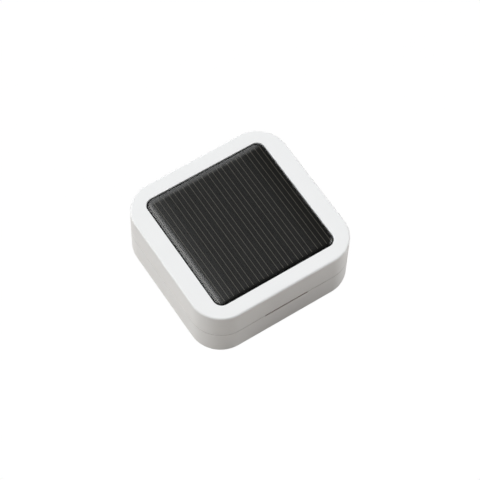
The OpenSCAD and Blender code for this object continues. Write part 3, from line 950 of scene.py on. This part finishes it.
# %% Foot pad
pad_w, pad_d = 2 * pad_high.x, 2 * pad_high.y
pad_r = 6 * MM
pad_hole_r = 4.9 * MM
groove_in = 2.5 * MM
groove_w = 1 * MM
groove_deep = 0.35 * MM
pad = plate("foot_pad_rubber", pad_w, pad_d, pad_low.z, pad_high.z, pad_r)
round_rim(pad, pad_low.z, 0.3 * MM, 4)


def inner_plate(name, inset, z0, z1):
    """A block that follows the pad's outline at some distance inside it."""
    return plate(name, pad_w - 2 * inset, pad_d - 2 * inset, z0, z1, pad_r - inset)


groove = inner_plate("groove", groove_in, -1 * MM, groove_deep)
combine(groove, inner_plate("island", groove_in + groove_w, -2 * MM, 2 * MM))
combine(pad, groove)
combine(pad, barrel("pad_hole", pad_hole_r, (0, 0, -1 * MM), (0, 0, 3 * MM)))
hand_over(pad, "foot_pad")

# %% [markdown]
# ## The hinge pin
# The pin is cut from drawn steel wire and tumbled, which rounds its two ends.

# %% Hinge pin
pin_r = (pin_high.z - pin_low.z) / 2
pin = barrel("pin", pin_r, (pin_low.x, hinge_y, seam_z), (pin_high.x, hinge_y, seam_z), "X", 40)
for end in (pin_low.x, pin_high.x):
    take(pin)
    bpy.ops.object.mode_set(mode="EDIT")
    pick_edges(pin, lambda a, b: abs(a.x - end) < 1e-7 and abs(b.x - end) < 1e-7)
    bpy.ops.mesh.bevel(offset=0.25 * MM, segments=4, affect="EDGES")
    bpy.ops.object.mode_set(mode="OBJECT")
hand_over(pin, "hinge_pin")

# %% [markdown]
# ## Moulded plastic
# The plastic pieces come from finely spark-eroded moulds. Three things make them look real:
# a grain far finer than a millimetre, a very faint unevenness over centimetres where the
# plastic flowed, and a roughness that varies a little with both.


# %% Finishes for moulded plastic
def moulded(name, colour, roughness=0.5, grain=0.16 * MM, depth=0.006 * MM, drift=0.03):
    """Plastic from a textured mould."""
    finish = Finish(name)
    fine = finish.grain(grain, 3)
    broad = finish.grain(14 * MM, 2)
    darker = tuple(c * (1 - drift) for c in colour)
    finish.surface(
        Base_Color=finish.blend(broad * 0.8 + fine * 0.2, darker, colour),
        Roughness=(fine - 0.5) * 0.12 + (broad - 0.5) * 0.08 + roughness,
        Specular_IOR_Level=0.4,
        Normal=finish.bump(fine, depth),
    )
    finishes[name] = finish.material


moulded("inner_grey", (0.10, 0.105, 0.11), 0.55, 0.2 * MM, 0.01 * MM)
moulded("frame_black", (0.018, 0.018, 0.019), 0.45, 0.2 * MM, 0.008 * MM)
moulded("chip_black", (0.016, 0.016, 0.017), 0.6, 0.12 * MM, 0.006 * MM)
moulded("ceramic_white", (0.68, 0.68, 0.64), 0.5, 0.1 * MM, 0.004 * MM)
moulded("socket_ivory", (0.66, 0.6, 0.46), 0.4)
moulded("plunger_ivory", (0.64, 0.6, 0.5), 0.4)
moulded("key_amber", (0.72, 0.19, 0.02), 0.38, 0.25 * MM, 0.006 * MM)
moulded("key_grey", (0.2, 0.205, 0.215), 0.4, 0.25 * MM, 0.006 * MM)
print("moulded finishes:", len(finishes))

# %% [markdown]
# ## White shells with their parting line
# The matt white shells need one thing more: painted shade. Light hardly gets into the fine line
# between lid and base or into the slot, so the colour is painted greyer in a narrow band at
# the seam, and darker and a little browner on the walls inside the slot, to stand for that shade.

# %% Finish for the white shells
finish = Finish("case_white")
x, y, z = finish.axes()
fine = finish.grain(0.16 * MM, 3)
broad = finish.grain(14 * MM, 2)
seam_band = 0.2 * MM
slot_band = slot_h + 0.03 * MM
off_seam = finish.node("ShaderNodeMath", {"operation": "ABSOLUTE"}, {0: z - seam_z})
in_seam = off_seam < seam_band
off_middle = finish.node("ShaderNodeMath", {"operation": "ABSOLUTE"}, {0: x})
in_slot = (
    (off_seam < slot_band)
    * (off_middle < slot_half)
    * (y > -half_d + 0.04 * MM)
    * (y < -half_d + slot_deep + 0.1 * MM)
)
plain = finish.blend(broad * 0.8 + fine * 0.2, (0.715, 0.715, 0.71), (0.745, 0.745, 0.74))
# painted shade: the slot's walls, and below them the seam band, are coloured darker to stand for the
# shade in them
slot_painted_shade = finish.blend(in_slot, plain, (0.40, 0.35, 0.33))
finish.surface(
    Base_Color=finish.blend(in_seam, slot_painted_shade, (0.55, 0.54, 0.53)),
    Roughness=(fine - 0.5) * 0.12 + (broad - 0.5) * 0.08 + 0.46,
    Specular_IOR_Level=0.4,
    Normal=finish.bump(fine, 0.006 * MM),
)
finishes["case_white"] = finish.material
print("the white finish is ready")

# %% [markdown]
# ## Rubber, foam and film
# The foot pad, seals and tapes are soft. They scatter light more than hard plastic and
# have a coarser, duller grain, so they get a higher roughness and a second, wider bump.


# %% Finishes for soft pieces
def soft(name, colour, roughness=0.8, grain=0.35 * MM, depth=0.02 * MM, drift=0.12):
    """Silicone, foam or porous film."""
    finish = Finish(name)
    fine = finish.grain(grain, 4, 0.6)
    wide = finish.grain(grain * 6, 2)
    darker = tuple(c * (1 - drift) for c in colour)
    finish.surface(
        Base_Color=finish.blend(fine * 0.5 + wide * 0.5, darker, colour),
        Roughness=(fine - 0.5) * 0.15 + roughness,
        Specular_IOR_Level=0.3,
        Normal=finish.bump(fine * 0.7 + wide * 0.3, depth),
    )
    finishes[name] = finish.material


soft("foot_rubber", (0.045, 0.045, 0.048))
soft("seal_black", (0.012, 0.012, 0.012), 0.9)
soft("seal_grey", (0.06, 0.061, 0.064), 0.7, 0.3 * MM, 0.01 * MM)
soft("membrane_white", (0.7, 0.7, 0.7), 0.9, 0.1 * MM, 0.01 * MM)
soft("tape_white", (0.66, 0.66, 0.62), 0.85)
soft("wire_red", (0.4, 0.018, 0.015), 0.45, 0.4 * MM, 0.004 * MM)
print("soft finishes are ready")

# %% [markdown]
# ## Metals
# Turned parts carry rings from the lathe and rolled sheet carries streaks, so the noise is
# stretched: a Mapping node squeezes the pattern along one direction before it is read.


# %% Finishes for metals
def metal(name, colour, roughness=0.3, squeeze=(1, 1, 8), depth=0.002 * MM, size=0.8 * MM):
    """Plated or turned metal with a directional finish."""
    finish = Finish(name)
    mapped = finish.node(
        "ShaderNodeMapping", {"vector_type": "POINT"}, {"Vector": finish.place(), "Scale": squeeze}
    )
    streak = finish.grain(size, 3, 0.6, mapped)
    tarnish = finish.grain(3 * MM, 3)
    darker = tuple(c * 0.82 for c in colour)
    finish.surface(
        Base_Color=finish.blend(tarnish, darker, colour),
        Metallic=1.0,
        Roughness=(streak - 0.5) * 0.2 + (tarnish - 0.5) * 0.1 + roughness,
        Normal=finish.bump(streak, depth),
    )
    finishes[name] = finish.material


metal("brass", (0.72, 0.5, 0.2), 0.28)
metal("steel", (0.56, 0.56, 0.57), 0.3, (8, 1, 1))
metal("magnet_nickel", (0.66, 0.65, 0.62), 0.18, (1, 1, 1))
metal("shield_tin", (0.6, 0.6, 0.6), 0.35, (8, 1, 1))
metal("battery_foil", (0.62, 0.62, 0.64), 0.34, (1, 1, 1), 0.03 * MM, 3 * MM)
metal("contact_gold", (0.83, 0.6, 0.24), 0.22, (1, 1, 6))
print("metal finishes are ready")

# %% [markdown]
# ## The solar panel
# The cells are thin strips of dark silicon, each with four fine silver fingers printed on
# it. The silicon has a faint wafer-to-wafer change of tone, and the print is slightly
# uneven and dull, as screen-printed silver paste is.

# %% Finishes for the cells
strip_count = 6
strip_gap = 0.2 * MM
cells_low, cells_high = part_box("cell_strips")
pitch = (cells_high.x - cells_low.x + strip_gap) / strip_count
finish = Finish("cell_silicon")
x = finish.axes()[0]
strip = finish.node("ShaderNodeMath", {"operation": "FLOOR"}, {0: (x - cells_low.x) / pitch})
tone = finish.node(
    "ShaderNodeTexWhiteNoise", {"noise_dimensions": "1D"}, {"W": strip + 0.5}, "Value"
)
crystal = finish.grain(0.6 * MM, 3)
wafer = finish.blend(tone * 0.6 + crystal * 0.4, (0.012, 0.012, 0.0108), (0.0175, 0.0175, 0.016))
finish.surface(
    Base_Color=wafer,
    Roughness=(crystal - 0.5) * 0.1 + 0.4,
    Specular_IOR_Level=0.15,
    Normal=finish.bump(crystal, 0.001 * MM),
)
finishes["cell_silicon"] = finish.material

finish = Finish("silver_print")
paste = finish.grain(0.25 * MM, 3, 0.7)
finish.surface(
    Base_Color=finish.blend(paste, (0.15, 0.14, 0.12), (0.235, 0.22, 0.195)),
    Roughness=(paste - 0.5) * 0.2 + 0.6,
    Specular_IOR_Level=0.2,
    Normal=finish.bump(paste, 0.01 * MM),
)
finishes["silver_print"] = finish.material

finish = Finish("cell_board_black")
weave = finish.node(
    "ShaderNodeTexWave",
    {"wave_type": "BANDS", "bands_direction": "DIAGONAL"},
    {"Vector": finish.place(), "Scale": 1 / (2.4 * MM), "Distortion": 1.0},
    "Fac",
)
mask = finish.grain(0.5 * MM, 2)
finish.surface(
    Base_Color=finish.blend(weave * 0.5 + mask * 0.5, (0.004, 0.004, 0.004), (0.009, 0.009, 0.0085)),
    Roughness=(mask - 0.5) * 0.1 + 0.5,
    Specular_IOR_Level=0.2,
    Normal=finish.bump(weave * 0.6 + mask * 0.4, 0.004 * MM),
)
finishes["cell_board_black"] = finish.material
print("strip pitch in mm:", round(pitch / MM, 2))

# %% [markdown]
# ## Clear resin
# Clear resin has two looks at once: its surface mirrors the room, more so towards the
# edges, and the cells show through the rest. A real glass shader would do both, but the
# cells close under it would turn noisy. A Fresnel node that mixes a glossy shader over a
# transparent one gives the same look cleanly. Poured resin is never quite flat: it falls
# away towards its edges, here by a bump whose slope grows to a few degrees. The underside
# is bonded to the board, so it gets a plain clear finish.

# %% Finish for the resin
finish = Finish("clear_cover")
dust = finish.grain(5 * MM, 2)
curve = -4.5


def fall(across, flat):
    """The height lost beyond the flat middle, which grows with the square of the way."""
    away = finish.node("ShaderNodeMath", {"operation": "ABSOLUTE"}, {0: across})
    past = finish.node("ShaderNodeMath", {"operation": "MAXIMUM"}, {0: away - flat, 1: 0.0})
    return past * past * curve


x, y = finish.axes()[:2]
relief = finish.bump(fall(x, 17 * MM) + fall(y, 23 * MM), 1.0)
mirror = finish.node(
    "ShaderNodeBsdfAnisotropic",
    {"distribution": "GGX"},
    {"Color": (1, 1, 1, 1), "Roughness": (dust - 0.5) * 0.02 + 0.10, "Normal": relief},
)
clear = finish.node("ShaderNodeBsdfTransparent", {}, {"Color": (0.94, 0.94, 0.92, 1)})
edge_on = finish.node("ShaderNodeFresnel", {}, {"IOR": 1.5})
finish.end(finish.node("ShaderNodeMixShader", {}, {0: edge_on, 1: clear, 2: mirror}))
finishes["clear_cover"] = finish.material

finish = Finish("resin_bond")
haze = finish.grain(1.2 * MM, 2)
bond = finish.node("ShaderNodeBsdfTransparent", {}, {"Color": (0.96, 0.96, 0.95, 1)})
film = finish.node("ShaderNodeBsdfDiffuse", {}, {"Color": (0.02, 0.02, 0.02, 1)})
finish.end(finish.node("ShaderNodeMixShader", {}, {0: haze * 0.02, 1: bond, 2: film}))
finishes["resin_bond"] = finish.material

resin.data.materials.append(finishes["clear_cover"])
resin.data.materials.append(finishes["resin_bond"])
for face in resin.data.polygons:
    face.material_index = 1 if face.normal.z < -0.9 else 0
print("resin faces underneath:", sum(f.material_index for f in resin.data.polygons))

# %% [markdown]
# ## Board, display and other small finishes
# These are seen only when the lid is open or not at all, but a part in a library may be
# opened or taken apart, so each has its own finish too.

# %% Finishes for the board and the display
finish = Finish("board_green")
trace = finish.node(
    "ShaderNodeTexBrick",
    {"offset": 0.4, "squash": 1.0},
    {"Vector": finish.place(), "Scale": 1 / (9 * MM), "Mortar Size": 0.03, "Mortar Smooth": 0.2},
    "Fac",
)
mask = finish.grain(0.8 * MM, 2)
finish.surface(
    Base_Color=finish.blend(trace * 0.7 + mask * 0.3, (0.008, 0.075, 0.03), (0.02, 0.14, 0.06)),
    Roughness=(mask - 0.5) * 0.1 + 0.35,
    Normal=finish.bump(trace * 0.8 + mask * 0.2, 0.02 * MM),
)
finishes["board_green"] = finish.material

finish = Finish("display_panel")
dots = finish.grain(0.3 * MM, 1)
finish.surface(
    Base_Color=finish.blend(dots, (0.30, 0.34, 0.27), (0.36, 0.40, 0.32)),
    Roughness=(dots - 0.5) * 0.1 + 0.3,
    Normal=finish.bump(dots, 0.002 * MM),
)
finishes["display_panel"] = finish.material

finish = Finish("pipe_clear")
frost = finish.grain(0.2 * MM, 2)
finish.surface(
    Base_Color=finish.blend(frost, (0.62, 0.64, 0.62), (0.74, 0.76, 0.74)),
    Roughness=(frost - 0.5) * 0.1 + 0.2,
    Specular_IOR_Level=0.6,
    Normal=finish.bump(frost, 0.003 * MM),
)
finishes["pipe_clear"] = finish.material

finish = Finish("led_lens")
die = finish.grain(0.5 * MM, 1)
finish.surface(
    Base_Color=finish.blend(die, (0.75, 0.66, 0.28), (0.8, 0.76, 0.55)),
    Roughness=(die - 0.5) * 0.1 + 0.25,
    Normal=finish.bump(die, 0.002 * MM),
)
finishes["led_lens"] = finish.material

finish = Finish("lens_black")
scuff = finish.grain(0.5 * MM, 4, 0.7)
x, y = finish.axes()[:2]
border = 3 * MM
print_w = lens_w / 2 - border
print_d = lens_d / 2 - border
in_field = (x < print_w) * (x > -print_w) * (y < lens_y + print_d) * (y > lens_y - print_d)
field = finish.blend(scuff, (0.20, 0.235, 0.18), (0.23, 0.265, 0.205))
black_print = finish.blend(scuff, (0.006, 0.006, 0.007), (0.009, 0.009, 0.010))
finish.surface(
    Base_Color=finish.blend(in_field, black_print, field),
    Roughness=(scuff - 0.5) * 0.06 + 0.08,
    Specular_IOR_Level=0.5,
    Normal=finish.bump(scuff, 0.0004 * MM),
)
finishes["lens_black"] = finish.material
print("finishes in all:", len(finishes))

# %% [markdown]
# ## Finishes on the pieces and the CAD nodes
# The modelled pieces get their finishes now that all are made. Each CAD node that still
# shows keeps its mesh and takes the finish of its own slot in the record, so that nothing
# is left with a plain colour.

# %% Give each piece its finish
for piece, slot in modelled:
    if not piece.data.materials:
        piece.data.materials.append(finishes[slot])
for name, node in frame["nodes"].items():
    for place_for_finish in node.material_slots:
        place_for_finish.material = finishes[slots[name]]
    if not node.material_slots:
        node.data.materials.append(finishes[slots[name]])
print("nodes with a finish:", len(frame["nodes"]))

# %% [markdown]
# ## Studio
# The picture has a plain pale ground and soft light. The ground that the camera sees only
# glows, so it stays even. A second, unseen ground reflects light as a table does. It has a
# painted shadow in front of the case, darker there, so that the front face darkens towards its foot.

# %% Ground
deselect_all()
bpy.ops.mesh.primitive_plane_add(size=6, location=(0, 0, -0.05 * MM))
ground = bpy.context.object
ground.name = "ground"
finish = Finish("pale_ground")
paper = finish.blend(finish.grain(0.4, 1), (1.0, 1.0, 1.0), (1.01, 1.01, 1.01))
finish.end(finish.node("ShaderNodeEmission", {}, {"Color": paper, "Strength": 1.0}))
ground.data.materials.append(finish.material)
ground.visible_diffuse = False
ground.visible_glossy = False
ground.visible_transmission = False
ground.visible_shadow = False

deselect_all()
bpy.ops.mesh.primitive_plane_add(size=6, location=(0, 0, -0.1 * MM))
table = bpy.context.object
table.name = "table"
finish = Finish("table_top")
# painted shadow: the table is coloured dark in a soft patch in front of the case, where the case's
# shadow would fall
in_front = (4 * MM, -54 * MM, 0)
away = finish.node(
    "ShaderNodeVectorMath", {"operation": "DISTANCE"}, {0: finish.place(), 1: in_front}, "Value"
)
dark_r, fade_w = 12 * MM, 22 * MM
tabletop = finish.blend(finish.grain(0.3, 1), (0.53, 0.49, 0.45), (0.57, 0.53, 0.485))
shade = finish.blend((away - dark_r) / fade_w, (0.22, 0.17, 0.135), tabletop)
finish.surface(Base_Color=shade, Roughness=0.9)
table.data.materials.append(finish.material)
table.visible_camera = False
print("ground and table are ready")

# %% [markdown]
# The light comes from soft patches of the sky, which stand for the windows and softboxes of
# a studio. The brightest are high at the back left, low behind and low at the right, and
# the front is dark. Lamps would do the same, but their shapes would show in the resin.

# %% Sky
world = bpy.data.worlds.new("studio")
world.use_nodes = True
bpy.context.scene.world = world
sky = Finish("sky", world.node_tree)
direction = sky.node("ShaderNodeTexCoord", out="Generated")


def towards(x, y, z):
    """How nearly a direction of the sky points one way, from -1 to 1."""
    way = tuple(Vector((x, y, z)).normalized())
    return sky.node(
        "ShaderNodeVectorMath", {"operation": "DOT_PRODUCT"}, {0: direction, 1: way}, "Value"
    )


def patch(middle, wide, soft_by, strength):
    """A bright patch of sky with its half-angle and the softness of its rim in degrees."""
    start = math.cos(math.radians(wide + soft_by))
    stop_at = math.cos(math.radians(max(wide - soft_by, 0)))
    shape = sky.node(
        "ShaderNodeMapRange",
        {"interpolation_type": "SMOOTHSTEP"},
        {0: towards(*middle), 1: start, 2: stop_at, 3: 0.0, 4: 1.0},
    )
    return shape * strength


brightness = (
    patch((-0.56, 0.40, 0.72), 25, 11, 2.45)
    + patch((-0.48, 0.22, 0.85), 34, 24, 1.1)
    + patch((0.10, 0.93, 0.35), 27, 15, 1.9)
    + patch((0.92, -0.32, 0.25), 22, 14, 3.9)
    + 0.05
)
glow = sky.node("ShaderNodeBackground", {}, {"Color": (0.99, 1.0, 1.01, 1), "Strength": brightness})
sky.node("ShaderNodeOutputWorld", {}, {"Surface": glow})
bpy.context.scene.view_settings.view_transform = "Standard"
print("sky is ready")
